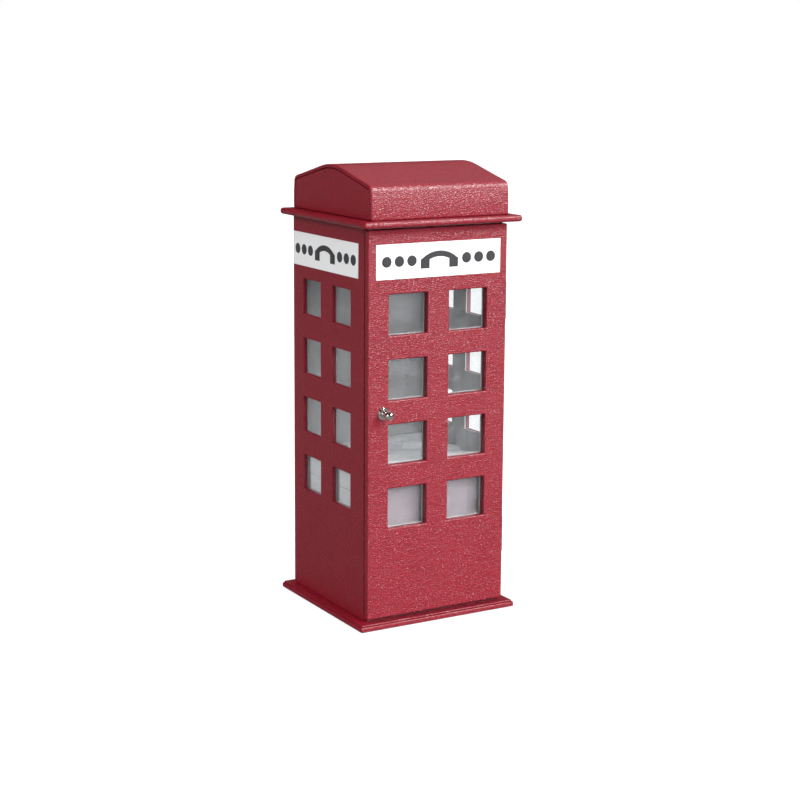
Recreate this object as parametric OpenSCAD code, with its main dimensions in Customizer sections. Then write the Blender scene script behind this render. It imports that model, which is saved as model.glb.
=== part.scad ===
// Jewellery box in the shape of a telephone booth.
// Boards wrapped in red grained leatherette stand on a two-layer base and carry a
// cornice board and an arched roof. The door fills the front and is hinged on the
// right. Clear panes sit behind the window cut-outs of the door and both sides.
// The origin is the centre of the felt underside, +Z is up and the door faces -Y.

/* [Base] */
// Width of the base board, left to right
base_w = 115; // [112:0.5:120]
// Depth of the base board, front to back
base_d = 112.5; // [112:0.5:120]
// Thickness of the lower base board
base_board_t = 3.2; // [2:0.1:6]
// Thickness of the thin upper base board
base_top_t = 1.1; // [0.8:0.1:3]
// How far the upper base board is set in from the lower one
base_step = 1; // [0.4:0.1:2]
// Thickness of the felt under the base
felt_t = 0.5; // [0.3:0.1:1]
// How far the felt is set in from the edge of the base
felt_inset = 4; // [2:0.5:10]

/* [Body] */
// Outer width of the body
body_w = 101.6; // [100:0.2:103]
// Y of the outer face of the back wall
body_back_y = 50.6; // [49:0.1:52]
// Y of the front edges of the side walls
body_front_y = -46.2; // [-46.5:0.1:-46]
// Height of the walls, from the base to the cornice
body_h = 251.4; // [251:0.2:256]
// Thickness of a leather-wrapped wall board
wall_t = 2.5; // [2:0.1:3]
// Thickness of the clear side panes
pane_t = 0.5; // [0.4:0.1:0.7]
// Thickness of the grey lining boards
lining_t = 0.9; // [0.6:0.1:1]

/* [Door] */
// Thickness of the leather-wrapped door board
door_t = 4.4; // [4:0.1:5]
// Gap between the door and the side walls
door_gap = 0.8; // [0.3:0.05:0.8]
// Gap between the door and the base
door_bottom_gap = 1.7; // [1:0.1:2.5]
// Gap between the door and the cornice
door_top_gap = 1.5; // [1:0.1:3]
// Thickness of the clear pane behind the door board
door_pane_t = 0.6; // [0.4:0.1:0.8]
// Gap around the pane and lining that swing in between the side walls
door_lining_gap = 0.9; // [0.6:0.1:1.5]

/* [Door windows] */
// Width of a door window
door_win_w = 27.8; // [24:0.2:29]
// Height of a door window
door_win_h = 25.9; // [20:0.1:30]
// Width of the bar between the two columns of door windows
door_mullion = 16; // [12:0.5:20]
// Height of the top edge of the highest door windows
door_win_top = 214.2; // [205:0.2:216]
// Distance from one row of door windows to the next
door_win_pitch = 41.2; // [36:0.2:42]

/* [Side windows] */
// Width of a side window
side_win_w = 24.6; // [20:0.2:26]
// Height of a side window
side_win_h = 23.4; // [20:0.1:28]
// Width of the bar between the two columns of side windows
side_mullion = 16; // [12:0.5:18]
// Height of the top edge of the highest side windows
side_win_top = 215.3; // [205:0.2:216]
// Distance from one row of side windows to the next
side_win_pitch = 39.4; // [36:0.2:41]
// Y of the middle of the windows in the left wall
left_win_y = 4; // [0:0.1:5]
// Y of the middle of the windows in the right wall
right_win_y = -1.2; // [-3:0.1:3]

/* [Signs] */
// Width of the sign on the door
front_sign_w = 90.8; // [80:0.2:96]
// Width of a sign on a side wall
side_sign_w = 88; // [80:0.2:90]
// Height of a sign
sign_h = 21.9; // [18:0.1:24]
// Thickness of a sign plate
sign_t = 0.4; // [0.3:0.05:0.8]
// Height of the middle of the signs
sign_z = 234.6; // [232:0.1:236]
// Diameter of the round dots on a sign
sign_dot_d = 6.8; // [5:0.1:8]
// Distance from one sign dot to the next
sign_dot_pitch = 9; // [8.5:0.1:9.8]

/* [Cornice] */
// Width of the cornice board
cornice_w = 115; // [110:0.5:118]
// Depth of the cornice board
cornice_d = 116.5; // [114:0.5:118]
// Thickness of the cornice board
cornice_t = 4.2; // [3:0.1:5]
// Y of the middle of the cornice board
cornice_y = -1; // [-2:0.1:0]

/* [Roof] */
// Width of the roof, left gable to right gable
roof_w = 100.2; // [96:0.2:104]
// Depth of the roof, front to back
roof_d = 105.6; // [100:0.2:110]
// Height of the roof above the cornice
roof_h = 31.7; // [28:0.1:36]
// Slope of the roof, in degrees
roof_slope = 13.5; // [10:0.5:18]
// Radius of the rounded ridge
ridge_r = 61.5; // [30:0.5:70]
// Radius of the rounded shoulders at the front and the back
shoulder_r = 4.5; // [3:0.1:8]
// Lean of the roof's crowned front and back at the shoulders, in degrees
roof_lean = 6.5; // [2:0.5:8]
// Radius of the crown of the roof's front and back
roof_face_r = 110; // [80:5:150]
// Thickness of the bent roof board
roof_t = 2.4; // [1.4:0.1:2.6]
// Thickness of the gable panels
gable_t = 2; // [1:0.1:3]

/* [Knob and hinges] */
// Diameter of the knob's ball
knob_ball_d = 6; // [4:0.1:8]
// Distance from the door's face to the middle of the ball
knob_reach = 7.6; // [6:0.1:10]
// Diameter of the plate under the knob
knob_rose_d = 8.2; // [6:0.1:10]
// Distance from the middle of the door to the knob
knob_x = 39.6; // [39:0.1:45]
// Height of the knob
knob_z = 139.5; // [134:0.5:145]
// Length of a hinge barrel
hinge_l = 24; // [18:0.5:30]
// Height of the middle of the lower hinge
lower_hinge_z = 50; // [35:1:70]
// Height of the middle of the upper hinge
upper_hinge_z = 205; // [190:1:230]

/* [Inside] */
// Height of the top of the board in front of the lower well
well_front_h = 99; // [90:0.5:101]
// Thickness of the board in front of the lower well
well_front_t = 2; // [1.5:0.1:3]
// Y of the front face of that board
well_front_y = -41.6; // [-42:0.1:-40]
// Height of the underside of the ring tray
tray_z = 84; // [70:0.5:86]
// Thickness of the ring tray's walls and floor
tray_t = 1.5; // [1:0.1:2]
// Height of the ring tray's walls
tray_h = 15.5; // [12:0.5:17]
// Gap between neighbouring ring rolls
roll_gap = 0.7; // [0.5:0.1:1.5]
// Number of necklace hooks
hook_count = 4; // [2:1:5]

/* [Hidden] */

red = [0.70, 0.20, 0.26];
grey = [0.78, 0.78, 0.80];
clear = [0.85, 0.90, 0.92, 0.35];
nickel = [0.80, 0.80, 0.78];
white = [0.95, 0.95, 0.95];
ink = [0.22, 0.22, 0.23];
felt = [0.12, 0.12, 0.13];
board = [0.72, 0.60, 0.45];

$fn = 48;
fine = 0.01; // overlap that keeps a cut clean
over = 1; // how far a cutting body runs past the faces that it cuts

win_rows = 4;

// Levels of the base and the body
board_top_z = felt_t + base_board_t;
base_top_z = board_top_z + base_top_t;
cornice_z = base_top_z + body_h;
roof_z = cornice_z + cornice_t;

// Faces inside the body
half_w = body_w / 2;
wall_in_x = half_w - wall_t;
lining_out_x = wall_in_x - pane_t;
lining_in_x = lining_out_x - lining_t;
back_in_y = body_back_y - wall_t;
lining_back_y = back_in_y - lining_t;
floor_z = base_top_z + lining_t;
ceiling_z = cornice_z - lining_t;

// The door
door_back_y = body_front_y - door_gap;
door_front_y = door_back_y - door_t;
door_z0 = base_top_z + door_bottom_gap;
door_z1 = cornice_z - door_top_gap;
pane_back_y = door_back_y + door_pane_t;
door_lining_back_y = pane_back_y + lining_t;
door_inner_w = 2 * (lining_in_x - door_lining_gap);
door_pane_lap = 2;
door_pane_w = door_mullion + 2 * door_win_w + 2 * door_pane_lap;
pane_margin = 4;
door_pane_z0 = door_win_top - door_win_h - (win_rows - 1) * door_win_pitch - pane_margin;
door_pane_z1 = door_win_top + pane_margin;
door_lining_inset = 1.4;

// Window columns, as distances from the middle of a face
door_col_x = (door_mullion + door_win_w) / 2;
side_col_y = (side_mullion + side_win_w) / 2;

// Hinges: a barrel of three knuckles outside the right-hand seam
hinge_out = 1.35;
hinge_x = half_w + hinge_out;
hinge_y = body_front_y - door_gap / 2;
knuckle_r = 1.1;
pin_r = 0.55;
pin_clear = 0.05;
leaf_t = 0.5;
leaf_edge = 1.35;
wall_leaf_w = 7;
door_leaf_w = 2.6;
knuckle_gap = 0.3;
web_t = 0.9;
web_gap = 0.1;
pin_head_r = 0.9;
pin_head_t = 0.4;
leaf_screw_z = hinge_l / 3;
leaf_screw_r = 0.45;
leaf_screw_head_r = 0.95;
leaf_screw_head_t = 0.35;
leaf_screw_l = 1.9;

// Knob screw
knob_screw_r = 1;
knob_screw_head_r = 2.3;
knob_screw_head_t = 1.2;
knob_screw_gap = 0.2;
knob_neck_r = 1.5;
knob_collar_r = 2.1;
knob_collar_t = 0.9;
knob_neck_end = 0.9; // how far the neck runs into the ball
knob_rose_t = 1.1;
knob_rose_rim_t = 0.65;
knob_rose_top_d = knob_rose_d * 0.82;
knob_hole = knob_reach - 1;

// Magnetic catch on the left wall, behind the door's edge
catch_z = 160;
catch_h = 14;
catch_w = 5;
catch_gap = 0.9;
catch_front_y = door_lining_back_y + catch_gap;
catch_depth = 7;
catch_mid_x = -lining_in_x + catch_w / 2;
magnet_r = 1.6;
magnet_l = 4;
strike_w = 3.6;
strike_h = 8;
strike_t = 0.5;
strike_x = catch_mid_x + 0.5;
strike_z = catch_z + catch_h / 2;

// Ring tray and its rolls
tray_gap = 0.6;
tray_front_gap = 0.4;
roll_count = 4;
roll_end_gap = 0.2;
tray_x = lining_in_x - tray_gap;
tray_front_y = well_front_y + well_front_t + tray_front_gap;
tray_back_y = lining_back_y - tray_gap;
tray_floor_z = tray_z + tray_t;
well_side_t = 2.5;
well_side_gap = 0.3;
rolls_front_y = tray_front_y + tray_t;
roll_pitch = (tray_back_y - tray_t - rolls_front_y) / roll_count;
roll_r = (roll_pitch - roll_gap) / 2;
roll_top = 17;
roll_end_x = tray_x - tray_t - roll_end_gap;
ribbon_w = 12;
ribbon_t = 0.4;
ribbon_low = 9;
ribbon_top = roll_top + 4;

// Signs
left_sign_y = 5;
right_sign_y = -1;
print_t = 0.1;
handle_r = 20;
handle_t = 3.6;
handle_top = 5.4;
handle_half = 13.6;
cup_w = 6.4;
cup_drop = 5.4;
cup_lap = 0.6; // how far a cup runs up into the handle
first_dot_x = 20;

// Centres of the arcs of the roof's outline, placed so that each arc meets the next
shoulder_x = roof_d / 2 - (roof_face_r - shoulder_r) * (1 - cos(roof_lean)) - shoulder_r;
shoulder_z = (ridge_r + (roof_h - ridge_r) * cos(roof_slope) - shoulder_r
              - shoulder_x * sin(roof_slope)) / cos(roof_slope);
shoulder_c = [shoulder_x, shoulder_z];
face_c = shoulder_c - (roof_face_r - shoulder_r) * [cos(roof_lean), sin(roof_lean)];
ridge_c = [0, roof_h - ridge_r];

// Gable panels and the formers between them
gable_gap = 0.25;
gable_inset = 0.3;
former_t = 2;
former_gap = 0.05;
former_x = roof_w / 6;

// Necklace hooks under a rail on the back wall
rail_w = 80;
rail_h = 9;
rail_t = 3;
rail_z = 238;
hook_r = 3;
hook_wire_r = 0.7;
hook_stem = 5;
hook_sweep = 150;
hook_pitch = rail_w / hook_count;
rail_screw_x = rail_w / 2 - 3;
rail_screw_r = 0.6;
rail_screw_head_r = 1.3;
rail_screw_head_t = 0.6;
rail_screw_end = 0.6; // wood left behind the tip of a rail screw
hook_collar_r = hook_wire_r * 2;
hook_collar_t = 0.5;
hook_tip_r = hook_wire_r * 1.5;

// ---------- shared shapes ----------

// A box given by its lowest corner and its highest corner
module box(low, high) {
    translate(low) cube(high - low);
}

// Cut-outs of one face: two columns by four rows, seen along +Y
module window_grid(col, w, h, top, pitch, depth) {
    for (side = [-1, 1], row = [0 : win_rows - 1])
        translate([side * col - w / 2, 0, top - h - row * pitch])
            cube([w, depth, h]);
}

// Cut-outs through a side wall, about the middle line y = mid_y
module side_windows(mid_y) {
    translate([half_w + over, mid_y, 0]) rotate([0, 0, 90])
        window_grid(side_col_y, side_win_w, side_win_h, side_win_top, side_win_pitch,
                    body_w + 2 * over);
}

// Cut-outs through the door
module door_windows() {
    translate([0, door_front_y - over, 0])
        window_grid(door_col_x, door_win_w, door_win_h, door_win_top, door_win_pitch,
                    door_lining_back_y - door_front_y + 2 * over);
}

// A short round bar along X
module bar_x(r, x0, x1) {
    translate([x0, 0, 0]) rotate([0, 90, 0]) cylinder(r = r, h = x1 - x0);
}

// A short round bar along Y
module bar_y(r, y0, y1) {
    translate([0, y0, 0]) rotate([-90, 0, 0]) cylinder(r = r, h = y1 - y0);
}

// ---------- base ----------

module base_felt() {
    color(felt)
        box([-base_w / 2 + felt_inset, -base_d / 2 + felt_inset, 0],
            [base_w / 2 - felt_inset, base_d / 2 - felt_inset, felt_t]);
}

module base_board() {
    color(red)
        box([-base_w / 2, -base_d / 2, felt_t], [base_w / 2, base_d / 2, board_top_z]);
}

module base_top_board() {
    color(red)
        box([-base_w / 2 + base_step, -base_d / 2 + base_step, board_top_z],
            [base_w / 2 - base_step, base_d / 2 - base_step, base_top_z]);
}

// ---------- walls, panes and linings ----------

// Screw holes for the wall leaves of both hinges
module wall_screw_holes() {
    for (z = [lower_hinge_z, upper_hinge_z], s = [-1, 1])
        translate([0, hinge_y + leaf_edge + wall_leaf_w / 2, z + s * leaf_screw_z])
            bar_x(leaf_screw_r, half_w - leaf_screw_l, half_w + over);
}

module side_wall(x0, x1, mid_y) {
    difference() {
        box([x0, body_front_y, base_top_z], [x1, body_back_y, cornice_z]);
        side_windows(mid_y);
    }
}

module left_wall() {
    color(red) side_wall(-half_w, -wall_in_x, left_win_y);
}

module right_wall() {
    color(red) difference() {
        side_wall(wall_in_x, half_w, right_win_y);
        wall_screw_holes();
    }
}

module back_wall() {
    color(red) difference() {
        box([-wall_in_x, back_in_y, base_top_z], [wall_in_x, body_back_y, cornice_z]);
        rail_screw_holes();
    }
}

// One clear sheet covers all eight windows of a side
module side_pane(x0, x1, mid_y) {
    reach = side_col_y + side_win_w / 2 + pane_margin;
    low = side_win_top - side_win_h - (win_rows - 1) * side_win_pitch - pane_margin;
    box([x0, mid_y - reach, low], [x1, mid_y + reach, side_win_top + pane_margin]);
}

module left_pane() {
    color(clear) side_pane(-wall_in_x, -lining_out_x, left_win_y);
}

module right_pane() {
    color(clear) side_pane(lining_out_x, wall_in_x, right_win_y);
}

module side_lining(x0, x1, mid_y) {
    difference() {
        box([x0, body_front_y, floor_z], [x1, lining_back_y, ceiling_z]);
        side_windows(mid_y);
    }
}

module left_lining() {
    color(grey) side_lining(-lining_out_x, -lining_in_x, left_win_y);
}

module right_lining() {
    color(grey) side_lining(lining_in_x, lining_out_x, right_win_y);
}

module back_lining() {
    color(grey) difference() {
        box([-lining_out_x, lining_back_y, floor_z], [lining_out_x, back_in_y, ceiling_z]);
        rail_screw_holes();
    }
}

module floor_lining() {
    color(grey)
        box([-wall_in_x, body_front_y, base_top_z], [wall_in_x, back_in_y, floor_z]);
}

module ceiling_lining() {
    color(grey)
        box([-wall_in_x, body_front_y, ceiling_z], [wall_in_x, back_in_y, cornice_z]);
}

// ---------- lower well ----------

module well_front() {
    color(grey)
        box([-lining_in_x, well_front_y, floor_z],
            [lining_in_x, well_front_y + well_front_t, well_front_h]);
}

// The sides of the well carry the ring tray
module well_sides() {
    color(grey) for (s = [-1, 1]) scale([s, 1, 1])
        box([tray_x - well_side_t, well_front_y + well_front_t, floor_z],
            [tray_x, lining_back_y, tray_z - well_side_gap]);
}

// ---------- cornice and roof ----------

module cornice_board() {
    color(red)
        box([-cornice_w / 2, cornice_y - cornice_d / 2, cornice_z],
            [cornice_w / 2, cornice_y + cornice_d / 2, roof_z]);
}

// Points of an arc round a centre, from angle a0 to angle a1, beginning at step first
function arc(c, r, a0, a1, first, steps) =
    [for (i = [first : steps]) let (a = a0 + (a1 - a0) * i / steps)
        c + r * [cos(a), sin(a)]];

// Half of the roof's outline, set in by d: crowned face, shoulder, slope, half the ridge
function half_outline(d) = concat(
    arc(face_c, roof_face_r - d, -asin(face_c[1] / (roof_face_r - d)), roof_lean, 0, 8),
    arc(shoulder_c, shoulder_r - d, roof_lean, 90 - roof_slope, 1, 12),
    arc(ridge_c, ridge_r - d, 90 - roof_slope, 90, 0, 8));

function roof_outline(d) =
    let (half = half_outline(d))
    concat(half, [for (i = [len(half) - 2 : -1 : 0]) [-half[i][0], half[i][1]]]);

// A slice of the roof's outline from x0 to x1
module roof_slice(d, x0, x1) {
    translate([x0, cornice_y, roof_z]) rotate([90, 0, 90])
        linear_extrude(x1 - x0) polygon(roof_outline(d));
}

// The bent board that makes the front, the slopes and the back
module roof_shell() {
    color(red) difference() {
        roof_slice(0, -roof_w / 2, roof_w / 2);
        translate([0, 0, -fine]) roof_slice(roof_t, -roof_w, roof_w);
    }
}

// A gable panel fills the end of the shell, behind a narrow groove
module gable(x0, x1) {
    intersection() {
        roof_slice(roof_t + gable_gap, x0, x1);
        box([x0, -roof_d, roof_z + gable_gap], [x1, roof_d, roof_z + roof_h]);
    }
}

module left_gable() {
    color(red) gable(-roof_w / 2 + gable_inset, -roof_w / 2 + gable_inset + gable_t);
}

module right_gable() {
    color(red) gable(roof_w / 2 - gable_inset - gable_t, roof_w / 2 - gable_inset);
}

// Two plain formers inside the roof hold its shape
module roof_formers() {
    color(board) for (x = [-former_x, former_x])
        roof_slice(roof_t + former_gap, x - former_t / 2, x + former_t / 2);
}

// ---------- signs ----------

// A telephone handset lying level: an arched handle between two square cups
module handset() {
    intersection() {
        translate([0, handle_top - handle_r]) difference() {
            circle(r = handle_r);
            circle(r = handle_r - handle_t);
        }
        translate([-handle_half, 0]) square([2 * handle_half, handle_top]);
    }
    for (s = [0, 1]) mirror([s, 0])
        translate([handle_half - cup_w, -cup_drop]) square([cup_w, cup_drop + cup_lap]);
}

// The handset stands between three round dots on each side
module sign_symbol() {
    handset();
    for (s = [-1, 1], i = [0 : 2])
        translate([s * (first_dot_x + i * sign_dot_pitch), 0]) circle(d = sign_dot_d);
}

module sign_plate(w, t) {
    translate([-w / 2, -t, -sign_h / 2]) cube([w, t, sign_h]);
}

// The printed marks stand a little proud of the plate
module sign_print() {
    rotate([90, 0, 0]) linear_extrude(print_t) sign_symbol();
}

// Puts a sign on a side wall: s is -1 for the left wall and 1 for the right
module on_side(s, y) {
    translate([s * half_w, y, sign_z]) rotate([0, 0, s * 90]) children();
}

module left_sign() {
    color(white) on_side(-1, left_sign_y) sign_plate(side_sign_w, sign_t);
}

module right_sign() {
    color(white) on_side(1, right_sign_y) sign_plate(side_sign_w, sign_t);
}

module left_sign_print() {
    color(ink) on_side(-1, left_sign_y) translate([0, -sign_t, 0]) sign_print();
}

module right_sign_print() {
    color(ink) on_side(1, right_sign_y) translate([0, -sign_t, 0]) sign_print();
}

module front_sign() {
    color(white) translate([0, door_front_y, sign_z]) sign_plate(front_sign_w, sign_t);
}

module front_sign_print() {
    color(ink) translate([0, door_front_y - sign_t, sign_z]) sign_print();
}

// ---------- necklace hooks ----------

module rail_screw_holes() {
    for (s = [-1, 1]) translate([s * rail_screw_x, 0, rail_z])
        bar_y(rail_screw_r, lining_back_y - rail_t - over, body_back_y - rail_screw_end);
}

module hook_rail() {
    color(grey) difference() {
        box([-rail_w / 2, lining_back_y - rail_t, rail_z - rail_h / 2],
            [rail_w / 2, lining_back_y, rail_z + rail_h / 2]);
        rail_screw_holes();
    }
}

// One hook: a stem out of the rail, then an arc that curls forwards and up to a ball
module hook() {
    tip = hook_sweep - 90;
    bar_y(hook_collar_r, -hook_collar_t, 0);
    bar_y(hook_wire_r, -hook_stem, 0);
    translate([0, -hook_stem, hook_r]) rotate([90, 0, -90]) {
        rotate([0, 0, -90]) rotate_extrude(angle = hook_sweep)
            translate([hook_r, 0]) circle(r = hook_wire_r);
        translate(hook_r * [cos(tip), sin(tip), 0]) sphere(r = hook_tip_r);
    }
}

module necklace_hooks() {
    color(nickel) for (i = [0 : hook_count - 1])
        translate([(i - (hook_count - 1) / 2) * hook_pitch, lining_back_y - rail_t, rail_z])
            hook();
}

module hook_rail_screws() {
    color(nickel) for (s = [-1, 1]) translate([s * rail_screw_x, 0, rail_z]) {
        bar_y(rail_screw_r, lining_back_y - rail_t, body_back_y - rail_screw_end);
        bar_y(rail_screw_head_r, lining_back_y - rail_t - rail_screw_head_t,
              lining_back_y - rail_t);
    }
}

// ---------- magnetic catch ----------

module catch_body() {
    color(white) difference() {
        box([-lining_in_x, catch_front_y, catch_z],
            [-lining_in_x + catch_w, catch_front_y + catch_depth, catch_z + catch_h]);
        translate([catch_mid_x, 0, catch_z + catch_h / 2])
            bar_y(magnet_r, catch_front_y - over, catch_front_y + magnet_l);
    }
}

module catch_magnet() {
    color(ink) translate([catch_mid_x, 0, catch_z + catch_h / 2])
        bar_y(magnet_r, catch_front_y, catch_front_y + magnet_l);
}

module strike_plate() {
    color(nickel)
        box([strike_x - strike_w / 2, door_lining_back_y, strike_z - strike_h / 2],
            [strike_x + strike_w / 2, door_lining_back_y + strike_t, strike_z + strike_h / 2]);
}

// ---------- hinges ----------

// A knuckle of the barrel between two heights, with its bore
module knuckle(z0, z1, bore_r) {
    difference() {
        translate([hinge_x, hinge_y, z0]) cylinder(r = knuckle_r, h = z1 - z0);
        translate([hinge_x, hinge_y, z0 - over]) cylinder(r = bore_r, h = z1 - z0 + 2 * over);
    }
}

// The web that joins a knuckle to its leaf, dir is 1 towards the wall, -1 to the door
module web(z0, z1, dir, bore_r) {
    difference() {
        translate([half_w, dir > 0 ? hinge_y + web_gap : hinge_y - leaf_edge - 2 * web_gap, z0])
            cube([web_t, leaf_edge + web_gap, z1 - z0]);
        translate([hinge_x, hinge_y, z0 - over]) cylinder(r = bore_r, h = z1 - z0 + 2 * over);
    }
}

// The wall leaf has the top and bottom knuckles
module wall_leaf(mid_z) {
    third = hinge_l / 3;
    difference() {
        box([half_w, hinge_y + leaf_edge, mid_z - hinge_l / 2],
            [half_w + leaf_t, hinge_y + leaf_edge + wall_leaf_w, mid_z + hinge_l / 2]);
        for (s = [-1, 1])
            translate([0, hinge_y + leaf_edge + wall_leaf_w / 2, mid_z + s * leaf_screw_z])
                bar_x(leaf_screw_r, half_w - over, half_w + leaf_t + over);
    }
    for (z = [mid_z - hinge_l / 2, mid_z + third / 2]) {
        knuckle(z, z + third, pin_r);
        web(z, z + third, 1, pin_r);
    }
}

// The door leaf has the middle knuckle
module door_leaf(mid_z) {
    half = hinge_l / 6 - knuckle_gap;
    difference() {
        box([half_w, hinge_y - leaf_edge - door_leaf_w, mid_z - hinge_l / 2],
            [half_w + leaf_t, hinge_y - leaf_edge, mid_z + hinge_l / 2]);
        for (s = [-1, 1])
            translate([0, hinge_y - leaf_edge - door_leaf_w / 2, mid_z + s * leaf_screw_z])
                bar_x(leaf_screw_r, half_w - over, half_w + leaf_t + over);
    }
    knuckle(mid_z - half, mid_z + half, pin_r + pin_clear);
    web(mid_z - half, mid_z + half, -1, pin_r + pin_clear);
}

module hinge_pin(mid_z) {
    translate([hinge_x, hinge_y, mid_z - hinge_l / 2]) {
        cylinder(r = pin_r, h = hinge_l);
        for (z = [-pin_head_t, hinge_l]) translate([0, 0, z])
            cylinder(r = pin_head_r, h = pin_head_t);
    }
}

// Screws through a leaf, at a given distance from the barrel
module leaf_screws(y) {
    for (z = [lower_hinge_z, upper_hinge_z], s = [-1, 1])
        translate([0, y, z + s * leaf_screw_z]) {
            bar_x(leaf_screw_r, half_w - leaf_screw_l, half_w + leaf_t);
            bar_x(leaf_screw_head_r, half_w + leaf_t, half_w + leaf_t + leaf_screw_head_t);
        }
}

module upper_wall_leaf() {
    color(nickel) wall_leaf(upper_hinge_z);
}

module lower_wall_leaf() {
    color(nickel) wall_leaf(lower_hinge_z);
}

module upper_hinge_pin() {
    color(nickel) hinge_pin(upper_hinge_z);
}

module lower_hinge_pin() {
    color(nickel) hinge_pin(lower_hinge_z);
}

module wall_leaf_screws() {
    color(nickel) leaf_screws(hinge_y + leaf_edge + wall_leaf_w / 2);
}

module upper_door_leaf() {
    color(nickel) door_leaf(upper_hinge_z);
}

module lower_door_leaf() {
    color(nickel) door_leaf(lower_hinge_z);
}

module door_leaf_screws() {
    color(nickel) leaf_screws(hinge_y - leaf_edge - door_leaf_w / 2);
}

// ---------- door ----------

module door_screw_holes() {
    for (z = [lower_hinge_z, upper_hinge_z], s = [-1, 1])
        translate([0, hinge_y - leaf_edge - door_leaf_w / 2, z + s * leaf_screw_z])
            bar_x(leaf_screw_r, half_w - leaf_screw_l, half_w + over);
    translate([-knob_x, 0, knob_z])
        bar_y(knob_screw_r, door_front_y - over, door_lining_back_y + over);
}

module door_board() {
    color(red) difference() {
        box([-half_w, door_front_y, door_z0], [half_w, door_back_y, door_z1]);
        door_windows();
        door_screw_holes();
    }
}

module door_pane() {
    color(clear)
        box([-door_pane_w / 2, door_back_y, door_pane_z0],
            [door_pane_w / 2, pane_back_y, door_pane_z1]);
}

// The grey lining covers the back of the door and is rebated round the pane
module door_lining() {
    color(grey) difference() {
        box([-door_inner_w / 2, door_back_y, floor_z + door_lining_inset],
            [door_inner_w / 2, door_lining_back_y, ceiling_z - door_lining_inset]);
        box([-door_pane_w / 2, door_back_y - over, door_pane_z0],
            [door_pane_w / 2, pane_back_y, door_pane_z1]);
        door_windows();
        door_screw_holes();
    }
}

// ---------- knob ----------

module knob_rose() {
    color(nickel) translate([-knob_x, door_front_y, knob_z]) rotate([90, 0, 0])
        difference() {
            union() {
                cylinder(d = knob_rose_d, h = knob_rose_rim_t);
                cylinder(d = knob_rose_top_d, h = knob_rose_t);
            }
            translate([0, 0, -over]) cylinder(r = knob_screw_r, h = knob_rose_t + 2 * over);
        }
}

// The neck and the ball turn out of one piece, with a blind hole for the screw
module door_knob() {
    color(nickel) translate([-knob_x, door_front_y, knob_z]) rotate([90, 0, 0])
        difference() {
            union() {
                translate([0, 0, knob_rose_t])
                    cylinder(r = knob_neck_r, h = knob_reach - knob_rose_t - knob_neck_end);
                translate([0, 0, knob_rose_t]) cylinder(r = knob_collar_r, h = knob_collar_t);
                translate([0, 0, knob_reach]) sphere(d = knob_ball_d);
            }
            cylinder(r = knob_screw_r, h = knob_hole);
        }
}

module knob_screw() {
    color(nickel) translate([-knob_x, 0, knob_z]) {
        bar_y(knob_screw_r, door_front_y - knob_hole + knob_screw_gap, door_lining_back_y);
        bar_y(knob_screw_head_r, door_lining_back_y, door_lining_back_y + knob_screw_head_t);
    }
}

// ---------- ring tray ----------

module ring_tray() {
    color(grey) difference() {
        box([-tray_x, tray_front_y, tray_z], [tray_x, tray_back_y, tray_z + tray_h]);
        box([-tray_x + tray_t, tray_front_y + tray_t, tray_floor_z],
            [tray_x - tray_t, tray_back_y - tray_t, tray_z + tray_h + 1]);
    }
}

// A padded bar across the tray, number 1 at the front
module ring_roll(i) {
    y = rolls_front_y + (i - 0.5) * roll_pitch;
    color(grey) translate([-roll_end_x, y, tray_floor_z])
        rotate([90, 0, 90]) linear_extrude(2 * roll_end_x) {
            intersection() {
                translate([0, roll_top - roll_r]) circle(r = roll_r);
                translate([-roll_r, 0]) square([2 * roll_r, roll_top]);
            }
            translate([-roll_r, 0]) square([2 * roll_r, roll_top - roll_r]);
        }
}

module ring_roll_1() {
    ring_roll(1);
}

module ring_roll_2() {
    ring_roll(2);
}

module ring_roll_3() {
    ring_roll(3);
}

module ring_roll_4() {
    ring_roll(4);
}

// A ribbon tab between the two middle rolls lifts the tray
module tray_ribbon() {
    y = rolls_front_y + 2 * roll_pitch;
    color(grey)
        box([-ribbon_w / 2, y - ribbon_t / 2, tray_floor_z + ribbon_low],
            [ribbon_w / 2, y + ribbon_t / 2, tray_floor_z + ribbon_top]);
}

// ---------- assembly ----------

base_felt();
base_board();
base_top_board();
left_wall();
right_wall();
back_wall();
left_pane();
right_pane();
left_lining();
right_lining();
back_lining();
floor_lining();
ceiling_lining();
well_front();
well_sides();
cornice_board();
roof_shell();
left_gable();
right_gable();
roof_formers();
left_sign();
right_sign();
left_sign_print();
right_sign_print();
hook_rail();
necklace_hooks();
hook_rail_screws();
catch_body();
catch_magnet();
upper_wall_leaf();
lower_wall_leaf();
upper_hinge_pin();
lower_hinge_pin();
wall_leaf_screws();
door_board();
door_pane();
door_lining();
front_sign();
front_sign_print();
knob_rose();
door_knob();
knob_screw();
strike_plate();
upper_door_leaf();
lower_door_leaf();
door_leaf_screws();
ring_tray();
ring_roll_1();
ring_roll_2();
ring_roll_3();
ring_roll_4();
tray_ribbon();
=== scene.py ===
import math

import bmesh
import bpy
from mathutils import Matrix, Vector, noise


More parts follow.
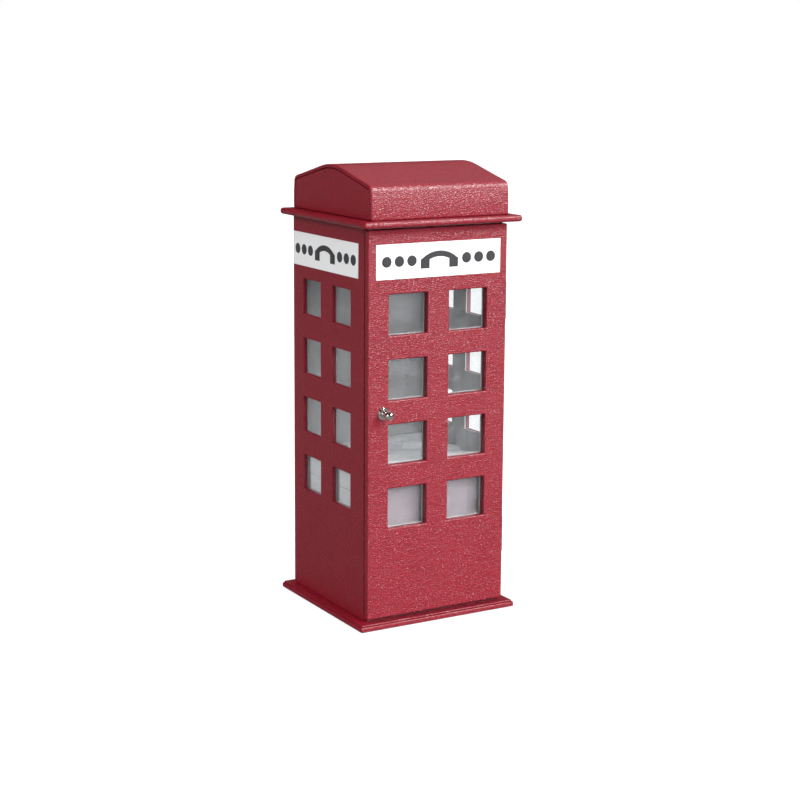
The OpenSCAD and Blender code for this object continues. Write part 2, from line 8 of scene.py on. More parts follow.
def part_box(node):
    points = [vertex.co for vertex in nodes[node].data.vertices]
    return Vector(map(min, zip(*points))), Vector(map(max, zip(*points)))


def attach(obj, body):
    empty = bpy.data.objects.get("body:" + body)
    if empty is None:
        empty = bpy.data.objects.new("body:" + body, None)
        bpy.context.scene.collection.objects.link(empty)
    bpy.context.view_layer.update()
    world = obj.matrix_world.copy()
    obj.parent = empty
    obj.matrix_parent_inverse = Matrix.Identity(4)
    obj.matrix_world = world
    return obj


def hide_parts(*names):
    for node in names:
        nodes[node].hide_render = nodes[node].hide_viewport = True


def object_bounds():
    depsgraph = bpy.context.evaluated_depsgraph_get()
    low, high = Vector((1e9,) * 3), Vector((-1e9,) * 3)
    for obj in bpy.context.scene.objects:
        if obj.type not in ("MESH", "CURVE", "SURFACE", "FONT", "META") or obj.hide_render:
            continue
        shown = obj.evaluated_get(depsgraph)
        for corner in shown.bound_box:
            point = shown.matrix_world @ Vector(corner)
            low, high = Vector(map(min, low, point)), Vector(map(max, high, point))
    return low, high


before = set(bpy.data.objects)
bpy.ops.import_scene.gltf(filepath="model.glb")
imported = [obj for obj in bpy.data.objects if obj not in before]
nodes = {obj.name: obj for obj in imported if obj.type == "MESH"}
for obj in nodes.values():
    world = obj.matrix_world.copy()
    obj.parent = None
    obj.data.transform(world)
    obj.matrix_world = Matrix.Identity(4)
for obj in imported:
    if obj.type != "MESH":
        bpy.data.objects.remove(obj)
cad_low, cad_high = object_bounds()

scene = bpy.context.scene
MM = 0.001
WHITE = (1.0, 1.0, 1.0)


# ---------- node helpers ----------

class Nodes:
    """Builds one node tree, one call per node."""

    def __init__(self, owner, out_kind):
        owner.use_nodes = True
        self.tree = owner.node_tree
        self.tree.nodes.clear()
        self.out = self.add(out_kind)
        self.coordinates = self.add("ShaderNodeTexCoord")

    def add(self, kind, **settings):
        made = self.tree.nodes.new(kind)
        for key, value in settings.items():
            setattr(made, key, value)
        return made

    def feed(self, socket, value):
        """Links a socket, or sets a number or colour on it."""
        if isinstance(value, bpy.types.NodeSocket):
            self.tree.links.new(value, socket)
        elif value is not None:
            socket.default_value = value

    def ramp(self, value, low, high, to_low=0.0, to_high=1.0, smooth=False):
        """The value's range from low to high, mapped to the range from to_low to to_high."""
        made = self.add("ShaderNodeMapRange",
                        interpolation_type="SMOOTHSTEP" if smooth else "LINEAR")
        self.feed(made.inputs["Value"], value)
        self.feed(made.inputs["From Min"], low)
        self.feed(made.inputs["From Max"], high)
        self.feed(made.inputs["To Min"], to_low)
        self.feed(made.inputs["To Max"], to_high)
        return made.outputs["Result"]

    def math(self, operation, a, b):
        made = self.add("ShaderNodeMath", operation=operation)
        self.feed(made.inputs[0], a)
        self.feed(made.inputs[1], b)
        return made.outputs[0]

    def blend(self, parts):
        """The sum of values, each times its weight."""
        terms = [self.math("MULTIPLY", value, weight) for value, weight in parts]
        total = terms[0]
        for term in terms[1:]:
            total = self.math("ADD", total, term)
        return total

    def shader(self, kind, colour):
        made = self.add(kind)
        self.feed(made.inputs["Color"], (*colour, 1.0))
        return made.outputs[0]

    def mix_shaders(self, factor, a, b):
        made = self.add("ShaderNodeMixShader")
        self.feed(made.inputs[0], factor)
        self.feed(made.inputs[1], a)
        self.feed(made.inputs[2], b)
        return made.outputs[0]

    def finish(self, shader):
        self.feed(self.out.inputs["Surface"], shader)


class MaterialNodes(Nodes):
    """Builds the node tree of one material, on the object's own coordinates."""

    def __init__(self, name):
        self.mat = bpy.data.materials.new(name)
        super().__init__(self.mat, "ShaderNodeOutputMaterial")
        self.place = self.coordinates.outputs["Object"]

    def noise(self, scale, detail=2.0, rough=0.5, where=None, distortion=0.0):
        made = self.add("ShaderNodeTexNoise")
        self.feed(made.inputs["Vector"], where or self.place)
        self.feed(made.inputs["Scale"], scale)
        self.feed(made.inputs["Detail"], detail)
        self.feed(made.inputs["Roughness"], rough)
        self.feed(made.inputs["Distortion"], distortion)
        return made.outputs["Fac"]

    def cells(self, scale, where):
        """Distance to the nearest edge between random cells."""
        made = self.add("ShaderNodeTexVoronoi", feature="DISTANCE_TO_EDGE")
        self.feed(made.inputs["Vector"], where)
        self.feed(made.inputs["Scale"], scale)
        return made.outputs["Distance"]

    def bands(self, scale, direction, distortion):
        made = self.add("ShaderNodeTexWave", wave_type="BANDS", bands_direction=direction)
        self.feed(made.inputs["Vector"], self.place)
        self.feed(made.inputs["Scale"], scale)
        self.feed(made.inputs["Distortion"], distortion)
        self.feed(made.inputs["Detail"], 1.0)
        return made.outputs["Fac"]

    def shifted(self, amount, scale):
        """The place, pushed about by a soft noise, so that cells aren't straight-sided."""
        soft = self.add("ShaderNodeTexNoise")
        self.feed(soft.inputs["Vector"], self.place)
        self.feed(soft.inputs["Scale"], scale)
        self.feed(soft.inputs["Detail"], 1.0)
        centred = self.add("ShaderNodeVectorMath", operation="SUBTRACT")
        self.feed(centred.inputs[0], soft.outputs["Color"])
        self.feed(centred.inputs[1], (0.5, 0.5, 0.5))
        scaled = self.add("ShaderNodeVectorMath", operation="SCALE")
        self.feed(scaled.inputs[0], centred.outputs[0])
        self.feed(scaled.inputs["Scale"], amount)
        moved = self.add("ShaderNodeVectorMath", operation="ADD")
        self.feed(moved.inputs[0], self.place)
        self.feed(moved.inputs[1], scaled.outputs[0])
        return moved.outputs[0]

    def stretched(self, where, scale):
        drawn = self.add("ShaderNodeMapping")
        self.feed(drawn.inputs["Vector"], where)
        self.feed(drawn.inputs["Scale"], scale)
        return drawn.outputs[0]

    def mix(self, factor, a, b):
        """A colour between a and b. Each is three numbers or a socket."""
        made = self.add("ShaderNodeMix", data_type="RGBA")
        self.feed(made.inputs[0], factor)
        self.feed(made.inputs[6], (*a, 1.0) if isinstance(a, tuple) else a)
        self.feed(made.inputs[7], (*b, 1.0) if isinstance(b, tuple) else b)
        return made.outputs[2]

    def bump(self, height, distance, strength, after=None):
        made = self.add("ShaderNodeBump")
        self.feed(made.inputs["Height"], height)
        self.feed(made.inputs["Distance"], distance)
        self.feed(made.inputs["Strength"], strength)
        self.feed(made.inputs["Normal"], after)
        return made.outputs["Normal"]

    def principled(self, colour, rough, normal, **fixed):
        made = self.add("ShaderNodeBsdfPrincipled")
        self.feed(made.inputs["Base Color"], colour)
        self.feed(made.inputs["Roughness"], rough)
        self.feed(made.inputs["Normal"], normal)
        for key, value in fixed.items():
            self.feed(made.inputs[key.replace("_", " ")], value)
        self.finish(made.outputs[0])
        return made.outputs[0]


def darker(colour, share):
    return tuple(part * share for part in colour)


# ---------- materials ----------

def leatherette(name):
    """Red faux leather: rounded pebbles, wider than tall, between fine creases, with painted shade
    in the creases.
    """
    pebbles_per_m = 1000.0 / 1.5
    creases_per_m = 2300.0 / 1.5
    depth = 0.19 * MM
    # crease is a dark red painted into the creases as shade; top_a and top_b are the reds of the
    # pebble tops
    crease, top_a, top_b = (0.150, 0.0050, 0.0120), (0.262, 0.0062, 0.0200), (0.286, 0.0080, 0.0232)
    n = MaterialNodes(name)
    where = n.stretched(n.shifted(1.1 * MM, 330.0), (0.8, 0.8, 1.35))
    pebble = n.ramp(n.cells(pebbles_per_m, where), 0.0, 0.40, smooth=True)
    small = n.ramp(n.cells(creases_per_m, where), 0.0, 0.30, smooth=True)
    swell = n.noise(420.0, 2.0, 0.55, where=where)
    height = n.blend([(pebble, 0.66), (small, 0.12), (swell, 0.50)])
    grain = n.bump(height, depth, 1.0)
    lie = n.bump(n.noise(38.0, 2.0, 0.5), 0.25 * MM, 0.35, after=grain)
    patch = n.ramp(n.noise(24.0, 3.0, 0.55), 0.3, 0.7)
    # Painted shade: the lower the grain, the nearer its colour comes to the dark crease red
    colour = n.mix(n.ramp(height, 0.15, 0.75), crease, n.mix(patch, top_a, top_b))
    worn = n.blend([(height, 1.0), (n.noise(90.0, 2.0), 0.5)])
    n.principled(colour, n.ramp(worn, 0.3, 1.4, 0.41, 0.33), lie, Specular_IOR_Level=0.5)
    return n.mat


def suede(name, colour, shade=0.82, pile=0.06):
    """Short-pile suede lining: a soft fuzz with brushed patches. pile is its depth in mm."""
    n = MaterialNodes(name)
    strokes = n.noise(260.0, 3.0, 0.6, where=n.stretched(n.place, (1.0, 1.0, 0.08)))
    patches = n.noise(55.0, 3.0, 0.6, distortion=0.6)
    brushed = n.ramp(n.blend([(patches, 0.5), (strokes, 0.5)]), 0.35, 0.65)
    fuzz = n.noise(5200.0, 2.0, 0.7)
    tone = n.mix(n.blend([(brushed, 0.6), (fuzz, 0.4)]), darker(colour, shade), colour)
    height = n.blend([(fuzz, 0.6), (n.noise(1500.0, 2.0, 0.6), 0.6)])
    n.principled(tone, n.ramp(fuzz, 0.2, 0.8, 0.78, 0.95), n.bump(height, pile * MM, 0.6),
                 Sheen_Weight=0.25, Sheen_Roughness=0.5, Specular_IOR_Level=0.25)
    return n.mat


def satin(name, colour):
    """Woven satin ribbon: fine ribs along its width."""
    n = MaterialNodes(name)
    ribs = n.bands(620.0, "Z", 0.4)
    tone = n.mix(n.math("MULTIPLY", ribs, 0.5), colour, darker(colour, 0.75))
    n.principled(tone, n.ramp(n.noise(900.0), 0.3, 0.7, 0.28, 0.42),
                 n.bump(ribs, 0.03 * MM, 0.6), Sheen_Weight=0.3, Anisotropic=0.4)
    return n.mat


def clear_sheet(name):
    """Clear acrylic: see-through, with a Fresnel shine and a trace of haze."""
    n = MaterialNodes(name)
    facing = n.add("ShaderNodeLayerWeight")
    n.feed(facing.inputs["Blend"], 0.5)
    fresnel = n.ramp(n.math("POWER", facing.outputs["Facing"], 5.0), 0.0, 1.0, 0.04, 1.0)
    through = n.shader("ShaderNodeBsdfTransparent", (0.955, 0.965, 0.968))
    shine = n.add("ShaderNodeBsdfGlossy")
    n.feed(shine.inputs["Color"], (*WHITE, 1.0))
    n.feed(shine.inputs["Roughness"], n.ramp(n.noise(60.0, 3.0), 0.3, 0.7, 0.02, 0.07))
    haze = n.shader("ShaderNodeBsdfDiffuse", (0.75, 0.77, 0.80))
    hazed = n.ramp(n.noise(140.0, 4.0, 0.6), 0.35, 0.75, 0.02, 0.07)
    veiled = n.mix_shaders(hazed, through, haze)
    n.finish(n.mix_shaders(fresnel, veiled, shine.outputs[0]))
    return n.mat


def plated(name):
    """Polished nickel with faint handling marks."""
    n = MaterialNodes(name)
    marks = n.noise(700.0, 4.0, 0.65)
    tone = n.mix(n.ramp(n.noise(220.0, 2.0), 0.3, 0.7), (0.74, 0.71, 0.66), (0.80, 0.775, 0.73))
    n.principled(tone, n.ramp(marks, 0.3, 0.75, 0.07, 0.20),
                 n.bump(n.noise(900.0, 3.0), 0.006 * MM, 0.5), Metallic=1.0)
    return n.mat


def printed_sheet(name, colour, rough):
    """Smooth printed sheet with a little fibre in it."""
    n = MaterialNodes(name)
    fibre = n.noise(2600.0, 3.0, 0.6)
    tone = n.mix(fibre, darker(colour, 0.96), colour)
    spread = 0.06
    n.principled(tone, n.ramp(n.noise(160.0, 2.0), 0.3, 0.7, rough - spread, rough + spread),
                 n.bump(fibre, 0.01 * MM, 0.4), Specular_IOR_Level=0.4)
    return n.mat


def card_edge(name):
    """The pale cut edge of the lining card."""
    n = MaterialNodes(name)
    layers = n.noise(3000.0, 3.0, 0.7)
    tone = n.mix(layers, (0.70, 0.70, 0.70), (0.86, 0.86, 0.86))
    n.principled(tone, n.ramp(layers, 0.3, 0.7, 0.7, 0.9), n.bump(layers, 0.03 * MM, 0.5))
    return n.mat


def moulded(name, colour, rough):
    """Moulded plastic or ceramic with a fine tool texture."""
    n = MaterialNodes(name)
    spark = n.noise(1800.0, 2.0, 0.6)
    tone = n.mix(spark, darker(colour, 0.9), colour)
    n.principled(tone, n.ramp(spark, 0.3, 0.7, rough, rough + 0.12),
                 n.bump(spark, 0.02 * MM, 0.5))
    return n.mat


def fibreboard(name):
    """Plain fibreboard, flecked and matt."""
    n = MaterialNodes(name)
    fleck = n.noise(900.0, 4.0, 0.7, distortion=1.0)
    tone = n.mix(n.ramp(fleck, 0.3, 0.7), (0.30, 0.20, 0.11), (0.47, 0.34, 0.21))
    n.principled(tone, n.ramp(fleck, 0.3, 0.7, 0.75, 0.92), n.bump(fleck, 0.05 * MM, 0.7))
    return n.mat


def felt(name):
    """Pressed felt: crossing fibres, very matt."""
    n = MaterialNodes(name)
    fibre = n.noise(2400.0, 4.0, 0.75, distortion=2.5)
    tone = n.mix(fibre, (0.010, 0.010, 0.011), (0.038, 0.038, 0.042))
    n.principled(tone, n.ramp(fibre, 0.3, 0.7, 0.9, 1.0), n.bump(fibre, 0.12 * MM, 0.8),
                 Sheen_Weight=0.3, Sheen_Roughness=0.6)
    return n.mat


RED = leatherette("red_leatherette")
LINING = suede("grey_lining", (0.50, 0.50, 0.51))
# A grey suede whose colour carries painted pink bounce light from the red leather
WELL_PINK_BOUNCE = suede("well_suede_pink_bounce", (0.33, 0.278, 0.302), shade=0.9)
PAD = suede("grey_pad", (0.80, 0.80, 0.815), shade=0.88, pile=0.09)
RIBBON = satin("ribbon", (0.60, 0.60, 0.63))
CLEAR = clear_sheet("clear_pane")
SIGN = printed_sheet("white_sign", (0.86, 0.865, 0.87), 0.42)
INK = printed_sheet("sign_ink", (0.040, 0.040, 0.043), 0.36)
NICKEL = plated("nickel")
EDGE = card_edge("card_edge")
MAGNET = moulded("magnet", (0.05, 0.05, 0.055), 0.45)
PLASTIC = moulded("white_plastic", (0.80, 0.80, 0.79), 0.30)
BOARD = fibreboard("fibreboard")
FELT = felt("base_felt")


# ---------- CAD nodes: materials and softened edges ----------

SHARP_ANGLE = math.radians(32)   # edges that bend more than this are rounded
FLAT_ANGLE = math.radians(0.4)   # faces that bend less than this are joined first


def dress(name, material, edge_mm=0.0, steps=3, smooth=True):
    """Gives a CAD node its material, its shading and edges rounded to edge_mm."""
    part = nodes[name]
    mesh = part.data
    mesh.materials.clear()
    mesh.materials.append(material)
    for face in mesh.polygons:
        face.use_smooth = smooth
    if "custom_normal" in mesh.attributes:
        mesh.attributes.remove(mesh.attributes["custom_normal"])
    weld = part.modifiers.new("weld", "WELD")
    weld.merge_threshold = 1e-6
    if edge_mm:
        flat = part.modifiers.new("flat", "DECIMATE")
        flat.decimate_type = "DISSOLVE"
        flat.angle_limit = FLAT_ANGLE
        bevel = part.modifiers.new("edge", "BEVEL")
        bevel.width = edge_mm * MM
        bevel.segments = steps
        bevel.limit_method = "ANGLE"
        bevel.angle_limit = SHARP_ANGLE
        bevel.miter_outer = "MITER_ARC"
    if smooth:
        even_shading(part)


def even_shading(part):
    """Makes large faces keep their own shading, so that only the rounded edges turn."""
    even = part.modifiers.new("even", "WEIGHTED_NORMAL")
    even.weight = 60


# Leather pieces that keep their CAD shape, with the radius of their edges in mm
WRAPPED = {
    "base_board": 0.7, "base_top_board": 0.45, "cornice_board": 1.7, "roof_shell": 1.1,
    "left_gable": 0.6, "right_gable": 0.6,
}
for name, radius in WRAPPED.items():
    dress(name, RED, radius, 4)

for name in ("back_lining", "floor_lining", "ceiling_lining"):
    dress(name, LINING, 0.12, 2)
dress("well_sides", PAD, 0.12, 2)
# The well front takes the suede with the painted pink bounce light
dress("well_front", WELL_PINK_BOUNCE, 0.45, 3)
dress("ring_tray", PAD, 0.45, 3)
for name in ("left_lining", "right_lining", "door_lining"):
    dress(name, LINING, 0.1, 2)
for name in ("left_pane", "right_pane", "door_pane"):
    dress(name, CLEAR, 0.06, 1, smooth=False)
for name in ("left_sign", "right_sign", "front_sign"):
    dress(name, SIGN, 0.08, 2)
for name in ("left_sign_print", "right_sign_print", "front_sign_print"):
    dress(name, INK)
for name in ("necklace_hooks", "door_knob"):
    dress(name, NICKEL)
for name in ("hook_rail_screws", "wall_leaf_screws", "door_leaf_screws", "knob_screw"):
    dress(name, NICKEL, 0.12, 2)
for name in ("upper_wall_leaf", "lower_wall_leaf", "upper_door_leaf", "lower_door_leaf",
             "upper_hinge_pin", "lower_hinge_pin", "strike_plate"):
    dress(name, NICKEL, 0.1, 2)
dress("knob_rose", NICKEL, 0.25, 3)
dress("catch_body", PLASTIC, 0.3, 3)
dress("catch_magnet", MAGNET, 0.15, 2)
dress("roof_formers", BOARD, 0.1, 1)
dress("base_felt", FELT, 0.15, 2)


def pale_cut_edges(name, facing):
    """Gives the pale card to the faces of a lining that don't lie along its sheet.
    facing is the axis that the sheet looks along: 0 for X, 1 for Y."""
    mesh = nodes[name].data
    mesh.materials.append(EDGE)
    for face in mesh.polygons:
        if abs(face.normal[facing]) < 0.5:
            face.material_index = 1


# The left lining is left out, so that its cut edges keep the grey lining: painted shade on the
# shaded side, where the other linings show the pale card
pale_cut_edges("right_lining", 0)
pale_cut_edges("door_lining", 1)


# ---------- new pieces ----------

def place_piece(mesh, material, body):
    """Puts a new mesh in the scene, smooth, with its material and the body that it rides on."""
    for face in mesh.polygons:
        face.use_smooth = True
    mesh.materials.append(material)
    piece = bpy.data.objects.new(mesh.name, mesh)
    scene.collection.objects.link(piece)
    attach(piece, body)
    return piece


def new_piece(name, verts, faces, material, body, slot):
    mesh = bpy.data.meshes.new(name)
    mesh.from_pydata(verts, [], faces)
    mesh.validate()
    mesh.update()
    return place_piece(mesh, material, body)


class Windows:
    """The window cut-outs of one face, as the CAD has them, in mm: the size of a window, the
    bar between the two columns, the top edge, the pitch of the rows, the middle of the face."""

    ROWS = 4

    def __init__(self, wide, tall, bar, top, pitch, middle):
        left, right = middle - bar / 2, middle + bar / 2
        self.columns = [((left - wide) * MM, left * MM), (right * MM, (right + wide) * MM)]
        self.rows = [((top - tall - i * pitch) * MM, (top - i * pitch) * MM)
                     for i in range(self.ROWS)]

    def contain(self, u, z):
        return (any(a < u < b for a, b in self.columns)
                and any(a < z < b for a, b in self.rows))


DOOR_WINDOWS = Windows(27.8, 25.9, 16.0, 214.2, 41.2, 0.0)
LEFT_WINDOWS = Windows(24.6, 23.4, 16.0, 215.3, 39.4, 4.0)
RIGHT_WINDOWS = Windows(24.6, 23.4, 16.0, 215.3, 39.4, -1.2)
SAME_PLACE = 1e-7     # metres
CORNER_TURN = 1.0     # radians: an edge that bends more than this is a corner of the board
BESIDE = ((0, -1), (1, 0), (0, 1), (-1, 0))   # neighbours of a patch, below, right, above, left


def wrapped_board(node, body, material, radius_mm, windows=None, window_mm=0.0, facing=1):
    """A board with soft edges all round, and round its windows, in place of a CAD board.
    facing is the axis that its face looks along: 0 for X, 1 for Y."""
    low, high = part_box(node)
    across = 1 - facing
    cuts_u = [low[across], high[across]]
    cuts_z = [low.z, high.z]
    if windows:
        cuts_u += [edge for column in windows.columns for edge in column]
        cuts_z += [edge for row in windows.rows for edge in row]
    cuts_u.sort()
    cuts_z.sort()

    made = bmesh.new()
    grid = {}

    def corner(i, j, side):
        if (i, j, side) not in grid:
            place = Vector((0, 0, cuts_z[j]))
            place[across] = cuts_u[i]
            place[facing] = (low, high)[side][facing]
            grid[i, j, side] = made.verts.new(place)
        return grid[i, j, side]

    def is_solid(i, j):
        middle = (cuts_u[i] + cuts_u[i + 1]) / 2, (cuts_z[j] + cuts_z[j + 1]) / 2
        return not (windows and windows.contain(*middle))

    solid = {(i, j) for i in range(len(cuts_u) - 1) for j in range(len(cuts_z) - 1)
             if is_solid(i, j)}
    for i, j in solid:
        loop = [(i, j), (i + 1, j), (i + 1, j + 1), (i, j + 1)]
        made.faces.new([corner(*c, 0) for c in loop])
        made.faces.new([corner(*c, 1) for c in reversed(loop)])
        for k, (di, dj) in enumerate(BESIDE):
            if (i + di, j + dj) not in solid:
                a, b = loop[k], loop[(k + 1) % len(loop)]
                made.faces.new([corner(*b, 0), corner(*a, 0), corner(*a, 1), corner(*b, 1)])
    bmesh.ops.recalc_face_normals(made, faces=made.faces)

    def on_rim(point):
        return (any(abs(point[across] - u) < SAME_PLACE for u in (low[across], high[across]))
                or any(abs(point.z - z) < SAME_PLACE for z in (low.z, high.z)))

    def corner_edges(outer):
        """The edges to round: those of the board's outline, or those of its windows."""
        return [e for e in made.edges
                if len(e.link_faces) == 2 and e.calc_face_angle(0) > CORNER_TURN
                and all(on_rim(v.co) == outer for v in e.verts)]

    def round_off(edges, width_mm, steps):
        bmesh.ops.bevel(made, geom=edges, offset=width_mm * MM, segments=steps,
                        profile=0.5, affect="EDGES", clamp_overlap=True)

    if windows:
        round_off(corner_edges(False), window_mm, 4)
    round_off(corner_edges(True), radius_mm, 5)
    mesh = bpy.data.meshes.new(node + "_wrapped")
    made.to_mesh(mesh)
    made.free()
    piece = place_piece(mesh, material, body)
    even_shading(piece)
    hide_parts(node)


wrapped_board("door_board", "door", RED, 0.85, DOOR_WINDOWS, 0.8)
wrapped_board("left_wall", "cabinet", RED, 0.6, LEFT_WINDOWS, 0.4, facing=0)
wrapped_board("right_wall", "cabinet", RED, 0.6, RIGHT_WINDOWS, 0.4, facing=0)
wrapped_board("back_wall", "cabinet", RED, 0.6)
wrapped_board("hook_rail", "cabinet", LINING, 0.7)


def loft(rings):
    """Vertices and faces of a closed tube through rings of equal length."""
    verts = [p for ring in rings for p in ring]
    size = len(rings[0])
    last = len(rings) - 1
    faces = [(i * size + j, i * size + (j + 1) % size,
              (i + 1) * size + (j + 1) % size, (i + 1) * size + j)
             for i in range(last) for j in range(size)]
    faces.append(tuple(reversed(range(size))))
    faces.append(tuple(range(last * size, last * size + size)))
    return verts, faces


ROLL_SIDES, ROLL_STEPS = 56, 72
ROLL_END_PLAY = 0.4 * MM         # how much shorter the foam is than its CAD solid
ROLL_LIFT = 0.02 * MM            # its clearance over the tray's floor
ROLL_FOOT = 0.5 * MM             # the lowest part, which the tray holds in shape
SEWN_FROM, SEWN_CURVE = 0.90, 2.2    # where the ends start to pull in, as a share, and how fast
SEWN_IN, SEWN_DOWN = 0.22, 0.16      # how far the ends pull in and down, as shares
CROWN = 0.018                        # how much the ends are lower than the middle, as a share
SIDE_ROUND, TOP_ROUND, FOOT_ROUND = 0.80, 0.86, 0.55   # 1 is a circle, less is squarer
END_STEPS = ((0.93, 0.10), (0.80, 0.05), (0.5, -0.35), (0.12, -0.55))  # size, mm outwards


def sewn_cap(ring, outward):
    """Rings that close a roll's end, which sinks a little towards its middle."""
    mid_y = sum(p[1] for p in ring) / len(ring)
    mid_z = sum(p[2] for p in ring) / len(ring)
    return [[(x + outward * out_mm * MM, mid_y + (y - mid_y) * share, mid_z + (z - mid_z) * share)
             for x, y, z in ring] for share, out_mm in END_STEPS]


def padded_roll(number):
    """A foam roll in suede: crowned along its length, pulled in at its sewn ends."""
    node = f"ring_roll_{number}"
    low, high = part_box(node)
    middle = (low + high) / 2
    half_x = (high.x - low.x - ROLL_END_PLAY) / 2
    half_y = (high.y - low.y) / 2
    side_z = high.z - low.z - half_y
    rings = []
    for i in range(ROLL_STEPS + 1):
        t = -1 + 2 * i / ROLL_STEPS
        x = middle.x + half_x * t
        end = max(0.0, (abs(t) - SEWN_FROM) / (1 - SEWN_FROM))
        pull_in = 1 - SEWN_IN * end ** SEWN_CURVE
        pull_down = 1 - SEWN_DOWN * end ** SEWN_CURVE
        swell = 1 - CROWN * t * t
        ring = []
        for j in range(ROLL_SIDES):
            turn = 2 * math.pi * j / ROLL_SIDES
            sy, sz = math.sin(turn), math.cos(turn)
            y = half_y * math.copysign(abs(sy) ** SIDE_ROUND, sy)
            if sz >= 0:
                z = side_z + half_y * sz ** TOP_ROUND
            else:
                z = side_z * (1 - abs(sz) ** FOOT_ROUND)
            wrinkle = noise.noise(Vector((x * 240 + number * 7.3, sy * 1.7, sz * 1.7)))
            crease = noise.noise(Vector((x * 900 + number * 3.1, sy * 3.0, sz * 3.0)))
            puff = 1 - 0.012 - 0.012 * wrinkle - 0.030 * end * abs(crease)
            wide = min(1.0, pull_in * swell * puff)
            tall = min(1.0, pull_down * swell * puff)
            z = min(z, ROLL_FOOT) + max(0.0, z - ROLL_FOOT) * tall
            ring.append((x, middle.y + y * wide * 0.995, low.z + ROLL_LIFT + z))
        rings.append(ring)
    rings = sewn_cap(rings[0], -1)[::-1] + rings + sewn_cap(rings[-1], 1)
    piece = new_piece(f"padded_ring_roll_{number}", *loft(rings), PAD, "tray", "grey_pad")
    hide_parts(node)


for number in range(1, 5):
    padded_roll(number)


RIBBON_GAP = 0.12 * MM       # half the gap between the two sides of the loop
LOOP_HALF = 0.55 * MM        # half the thickness of the loop at its round top
LOOP_TALL = 1.35 * MM        # height of the round top
LOOP_DROP = 1.6 * MM         # how far under the top of the CAD solid the round top starts
LOOP_STEPS = 12
RIBBON_COLUMNS = 24


def ribbon_tab():
    """A folded loop of satin ribbon that stands up between the two middle rolls."""
    low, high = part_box("tray_ribbon")
    middle = (low + high) / 2
    wide = high.x - low.x
    tall = high.z - low.z
    side = [(RIBBON_GAP, 0.0), (RIBBON_GAP, tall * 0.25), (RIBBON_GAP, tall * 0.5),
            (RIBBON_GAP * 1.1, tall * 0.68)]
    path = [(-y, z) for y, z in side]
    for k in range(LOOP_STEPS + 1):
        turn = math.pi * (1 - k / LOOP_STEPS)
        path.append((LOOP_HALF * math.cos(turn), tall - LOOP_DROP + LOOP_TALL * math.sin(turn)))
    path += side[::-1]
    verts = []
    for y, z in path:
        for i in range(RIBBON_COLUMNS + 1):
            s = i / RIBBON_COLUMNS - 0.5
            lift = min(1.0, z / tall)
            wave = 0.10 * MM * math.sin(s * 9.0 + 2.2 * lift) * lift
            selvedge = 1 - 0.006 * math.sin(z * 2600)
            verts.append((middle.x + s * wide * selvedge * (1 - 0.03 * lift),
                          middle.y + y + wave, low.z + z))
    row = RIBBON_COLUMNS + 1
    faces = [(j * row + i, j * row + i + 1, (j + 1) * row + i + 1, (j + 1) * row + i)
             for j in range(len(path) - 1) for i in range(RIBBON_COLUMNS)]
    piece = new_piece("ribbon_loop", verts, faces, RIBBON, "tray", "ribbon")
    thick = piece.modifiers.new("cloth", "SOLIDIFY")
    thick.thickness = 0.14 * MM
    thick.offset = 0
    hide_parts("tray_ribbon")


ribbon_tab()


# ---------- floor, light and camera ----------

def pale_floor():
    """A seamless pale floor. What it throws back on the object is flagged down, as with a
    dark cloth beside the set, so that the shaded side stays deep."""
    half = 40.0
    n = MaterialNodes("studio_floor")
    tone = n.mix(n.noise(3.0, 2.0), (0.38, 0.38, 0.38), (0.39, 0.39, 0.39))
    pale = n.principled(tone, 0.8, None, Specular_IOR_Level=0.1,
                        Emission_Color=(*WHITE, 1.0), Emission_Strength=0.72)
    flagged = n.shader("ShaderNodeBsdfDiffuse", (0.18, 0.18, 0.18))
    kind = n.add("ShaderNodeLightPath")
    n.finish(n.mix_shaders(kind.outputs["Is Camera Ray"], flagged, pale))
    mesh = bpy.data.meshes.new("studio_floor")
    mesh.from_pydata([(-half, -half, 0), (half, -half, 0), (half, half, 0), (-half, half, 0)],
                     [], [(0, 1, 2, 3)])
    mesh.materials.append(n.mat)
    floor = bpy.data.objects.new("studio_floor", mesh)
    scene.collection.objects.link(floor)


pale_floor()


def new_lamp(name, kind, azimuth, elevation, distance):
    """A lamp that faces the middle of the object. Azimuth 0 stands in front of it, and 90 on
    the side of its hinges."""
    a, e = math.radians(azimuth), math.radians(elevation)
    away = Vector((math.sin(a) * math.cos(e), -math.cos(a) * math.cos(e), math.sin(e)))
    lamp = bpy.data.lights.new(name, kind)
    made = bpy.data.objects.new(name, lamp)
    made.location = (cad_low + cad_high) / 2 + away * distance
    made.rotation_mode = "QUATERNION"
    made.rotation_quaternion = away.to_track_quat("Z", "Y")
    scene.collection.objects.link(made)
    return made


def soft_sun(name, azimuth, elevation, strength, spread, in_gloss=True, in_diffuse=True):
    """A far lamp, as wide as spread in degrees, that may leave out the gloss or the rest."""
    made = new_lamp(name, "SUN", azimuth, elevation, 1.0)
    made.data.energy = strength
    made.data.angle = math.radians(spread)
    made.visible_glossy = in_gloss
    made.visible_diffuse = in_diffuse


def soft_box(name, azimuth, elevation, distance, size, power):
    made = new_lamp(name, "AREA", azimuth, elevation, distance)
    made.data.size = size
    made.data.energy = power


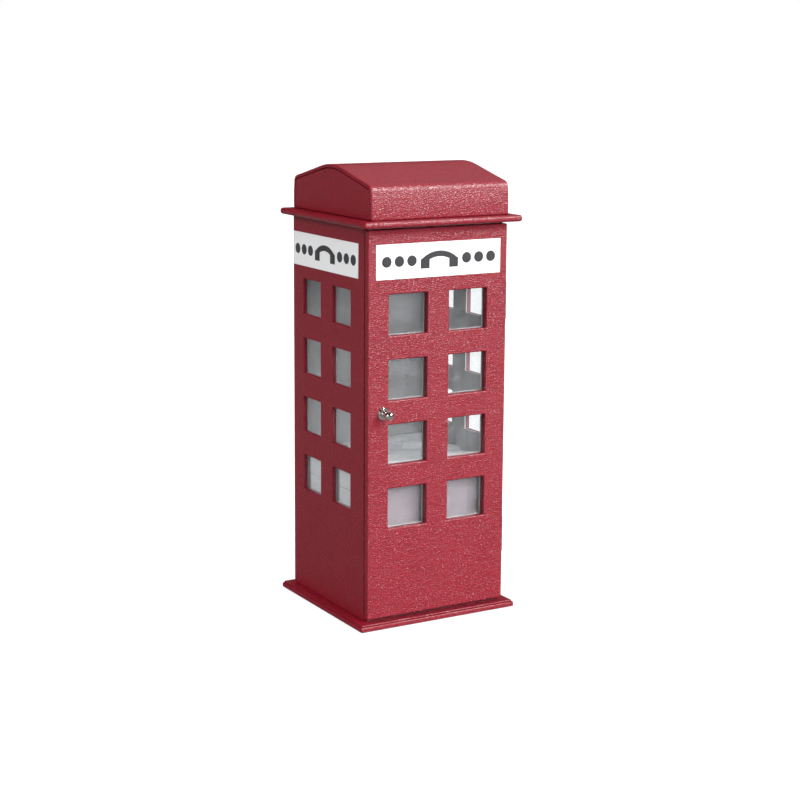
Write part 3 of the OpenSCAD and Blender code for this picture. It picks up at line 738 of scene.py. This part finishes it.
soft_sun("key_lamp", 18, 21, 6.5, 70, in_gloss=False)
soft_sun("gloss_lamp", 31, 34, 5.6, 15, in_diffuse=False)
soft_sun("side_lamp", -112, 26, 2.05, 36, in_gloss=False)
soft_sun("knob_lamp", -78, 12, 0.9, 50, in_diffuse=False)
soft_sun("back_lamp", 176, 16, 1.7, 60, in_gloss=False)
soft_box("top_lamp", 128, 54, 1.8, 1.4, 4.5)


def studio_world():
    """White where the camera sees it. As light it is brighter on one side, and in gloss it is
    dim, so that the highlights are the lamps' own."""
    bright_side = (0.62, -0.74, 0.25)
    world = bpy.data.worlds.new("studio")
    scene.world = world
    n = Nodes(world, "ShaderNodeOutputWorld")
    seen = n.shader("ShaderNodeBackground", WHITE)
    facing = n.add("ShaderNodeVectorMath", operation="DOT_PRODUCT")
    n.feed(facing.inputs[0], n.coordinates.outputs["Generated"])
    n.feed(facing.inputs[1], bright_side)
    sky = n.ramp(facing.outputs["Value"], -0.7, 0.9, 0.06, 0.5)
    kind = n.add("ShaderNodeLightPath")
    dimmed = n.ramp(kind.outputs["Is Glossy Ray"], 0.0, 1.0, 1.0, 0.12)
    lit = n.add("ShaderNodeBackground")
    n.feed(lit.inputs["Color"], (*WHITE, 1.0))
    n.feed(lit.inputs["Strength"], n.math("MULTIPLY", sky, dimmed))
    n.finish(n.mix_shaders(kind.outputs["Is Camera Ray"], lit.outputs[0], seen))


studio_world()


def photo_camera():
    """The camera as fitted to the photo: degrees, metres, and the lens in millimetres."""
    heading, pitch, roll = (math.radians(angle) for angle in (30.111, 10.111, 0.365))
    data = bpy.data.cameras.new("camera")
    data.sensor_width = 36.0
    data.lens = 79.08
    data.shift_y = -0.05
    data.clip_start, data.clip_end = 0.01, 50.0
    ahead = Vector((math.sin(heading) * math.cos(pitch), math.cos(heading) * math.cos(pitch),
                    -math.sin(pitch)))
    right = Vector((math.cos(heading), -math.sin(heading), 0))
    up = right.cross(ahead)
    tilted_right = right * math.cos(roll) + up * math.sin(roll)
    tilted_up = up * math.cos(roll) - right * math.sin(roll)
    turn = Matrix((tilted_right, tilted_up, -ahead)).transposed()
    camera = bpy.data.objects.new("camera", data)
    camera.matrix_world = Matrix.Translation((-0.5699, -0.9860, 0.3653)) @ turn.to_4x4()
    scene.collection.objects.link(camera)
    scene.camera = camera


photo_camera()
scene.view_settings.view_transform = "Standard"
